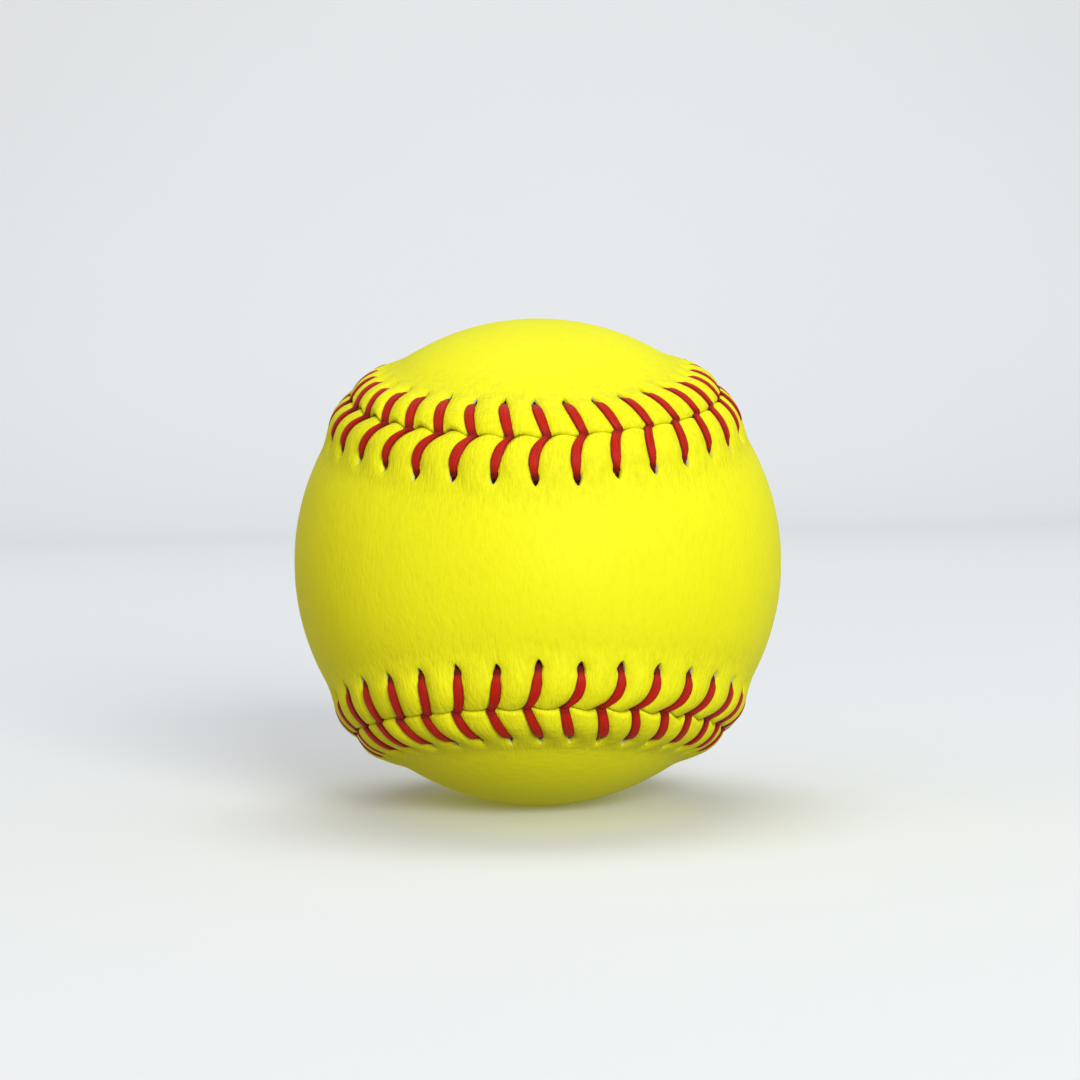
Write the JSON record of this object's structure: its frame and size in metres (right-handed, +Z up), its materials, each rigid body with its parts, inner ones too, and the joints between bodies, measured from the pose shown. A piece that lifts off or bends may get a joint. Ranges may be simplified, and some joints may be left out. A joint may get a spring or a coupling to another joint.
{
  "type": "softball",
  "caption": "Stitched leather softball: figure-eight cover panels sewn with a raised red seam over a wound cork core.",
  "frame": {"origin": "centre of the ball", "axes": "+Z up through the top lobe of the back panel, -Y out of the waist of the front panel, +X out of its right lobe"},
  "size_m": [0.097, 0.097, 0.097],
  "materials": {
    "leather": "optic yellow, fine grain, satin",
    "waxed_thread": "red, waxed",
    "latex_cement": "dull, translucent amber",
    "fine_yarn": "undyed cotton and polyester yarn",
    "coarse_yarn": "grey wool yarn",
    "cork": "moulded cork granules"
  },
  "bodies": {
    "root": {"front_panel": "leather", "back_panel": "leather", "stitch_thread_one": "waxed_thread", "stitch_thread_two": "waxed_thread", "cement_coat": "latex_cement", "outer_winding": "fine_yarn", "inner_winding": "coarse_yarn", "cork_core": "cork"}
  },
  "joints": []
}
